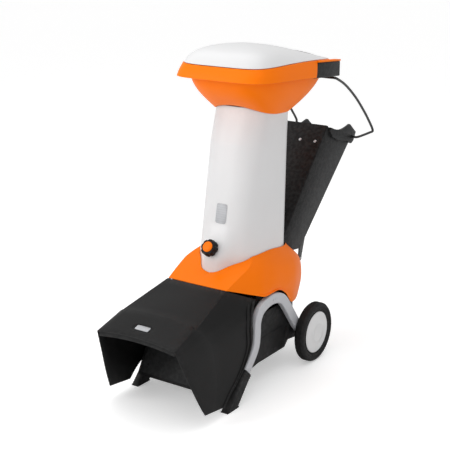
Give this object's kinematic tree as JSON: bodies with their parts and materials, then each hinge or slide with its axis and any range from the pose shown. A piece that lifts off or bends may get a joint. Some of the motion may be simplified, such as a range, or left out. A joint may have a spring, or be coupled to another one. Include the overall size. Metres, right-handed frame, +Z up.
{
  "type": "electric garden shredder",
  "caption": "Wheeled electric garden shredder with a feed tower and bowl hopper, a slanted branch chute with a bail handle, a tilting feed unit and a lift-up discharge hood.",
  "frame": {"origin": "on the ground under the middle of the whole machine", "axes": "+Z up, -Y towards the front where the chips come out, +Y towards the branch chute and the handle, +X towards the switch box side"},
  "size_m": [0.535, 1.4876, 1.3633],
  "materials": {
    "orange_cover": "semi-gloss moulded orange plastic",
    "white_shell": "satin moulded white plastic",
    "black_plastic": "fine grained black plastic",
    "dark_plastic": "fine grained dark grey plastic",
    "leg_paint": "light grey powder coat",
    "tyre_rubber": "matte black rubber",
    "sleeve_rubber": "matte black rubber",
    "steel": "bright zinc plated steel",
    "black_steel": "satin black paint",
    "motor_casting": "plain cast aluminium",
    "label_plate": "satin grey plate",
    "green_button": "satin green plastic",
    "red_button": "satin red plastic"
  },
  "bodies": {
    "base": {"lower_housing": "black_plastic", "chip_ramp": "dark_plastic", "leg_left": "leg_paint", "leg_right": "leg_paint", "foot_sleeve_left": "sleeve_rubber", "foot_sleeve_right": "sleeve_rubber", "axle": "steel", "axle_cap_left": "steel", "axle_cap_right": "steel", "motor_can": "motor_casting", "motor_end_shield": "motor_casting", "run_capacitor": "label_plate", "cutting_drum": "dark_plastic", "chamber_lid": "dark_plastic", "counter_blade": "steel", "base_cover": "orange_cover", "hood_pin_left": "steel", "hood_pin_right": "steel", "hood_bracket_left": "black_steel", "hood_bracket_right": "black_steel", "tilt_bracket": "black_steel", "tilt_pin": "steel"},
    "left_wheel": {"tyre_left": "tyre_rubber", "wheel_body_left": "black_plastic", "hub_cap_left": "white_shell"},
    "right_wheel": {"tyre_right": "tyre_rubber", "wheel_body_right": "black_plastic", "hub_cap_right": "white_shell"},
    "blade_rotor": {"motor_shaft": "steel", "blade_disc": "steel", "blade_left": "steel", "blade_right": "steel", "thrower_fan": "steel", "blade_bolt": "steel"},
    "hood": {"discharge_hood": "dark_plastic"},
    "feed_unit": {"tower": "white_shell", "hopper_neck": "black_plastic", "hopper_bowl": "orange_cover", "hopper_rim": "orange_cover", "dome_cover": "white_shell", "switch_box": "dark_plastic", "mains_inlet": "black_plastic", "chute_front_shell": "black_plastic", "chute_rear_shell": "dark_plastic", "collar_left": "dark_plastic", "collar_right": "dark_plastic", "flap_screw_left": "steel", "flap_screw_middle": "steel", "flap_screw_right": "steel", "flap_strip": "steel", "bail_handle": "black_steel", "tower_label": "label_plate", "tilt_lugs": "black_steel"},
    "flap": {"chute_flap": "sleeve_rubber"},
    "locking_knob": {"knob_grip": "black_plastic", "knob_cap": "orange_cover", "knob_stud": "steel"},
    "start_push": {"start_button": "green_button"},
    "stop_push": {"stop_button": "red_button"}
  },
  "joints": [
    {"name": "left_wheel_spin", "type": "hinge", "parent": "base", "child": "left_wheel", "pos_m": [0.24, 0.16775, 0.129], "axis": [1, 0, 0], "continuous": true},
    {"name": "right_wheel_spin", "type": "hinge", "parent": "base", "child": "right_wheel", "pos_m": [-0.24, 0.16775, 0.129], "axis": [1, 0, 0], "continuous": true},
    {"name": "rotor_spin", "type": "hinge", "parent": "base", "child": "blade_rotor", "pos_m": [0, 0.02775, 0.37], "axis": [0, 0, 1], "continuous": true},
    {"name": "hood_lift", "type": "hinge", "parent": "base", "child": "hood", "pos_m": [0, -0.35745, 0.4423], "axis": [-1, 0, 0], "range_deg": [0, 60]},
    {"name": "feed_unit_tilt", "type": "hinge", "parent": "base", "child": "feed_unit", "pos_m": [0, 0.28275, 0.405], "axis": [-1, 0, 0], "range_deg": [0, 45]},
    {"name": "flap_swing", "type": "hinge", "parent": "feed_unit", "child": "flap", "pos_m": [0, 0.42703, 0.87419], "axis": [1, 0, 0], "range_deg": [-30, 10]},
    {"name": "knob_turn", "type": "hinge", "parent": "feed_unit", "child": "locking_knob", "pos_m": [0, -0.24973, 0.566], "axis": [0, -0.8387, 0.5446], "continuous": true},
    {"name": "start_press", "type": "slide", "parent": "feed_unit", "child": "start_push", "axis": [0, -1, 0], "range_m": [0, 0.004], "stiffness_N_per_m": 500},
    {"name": "stop_press", "type": "slide", "parent": "feed_unit", "child": "stop_push", "axis": [0, -1, 0], "range_m": [0, 0.004], "stiffness_N_per_m": 500}
  ]
}
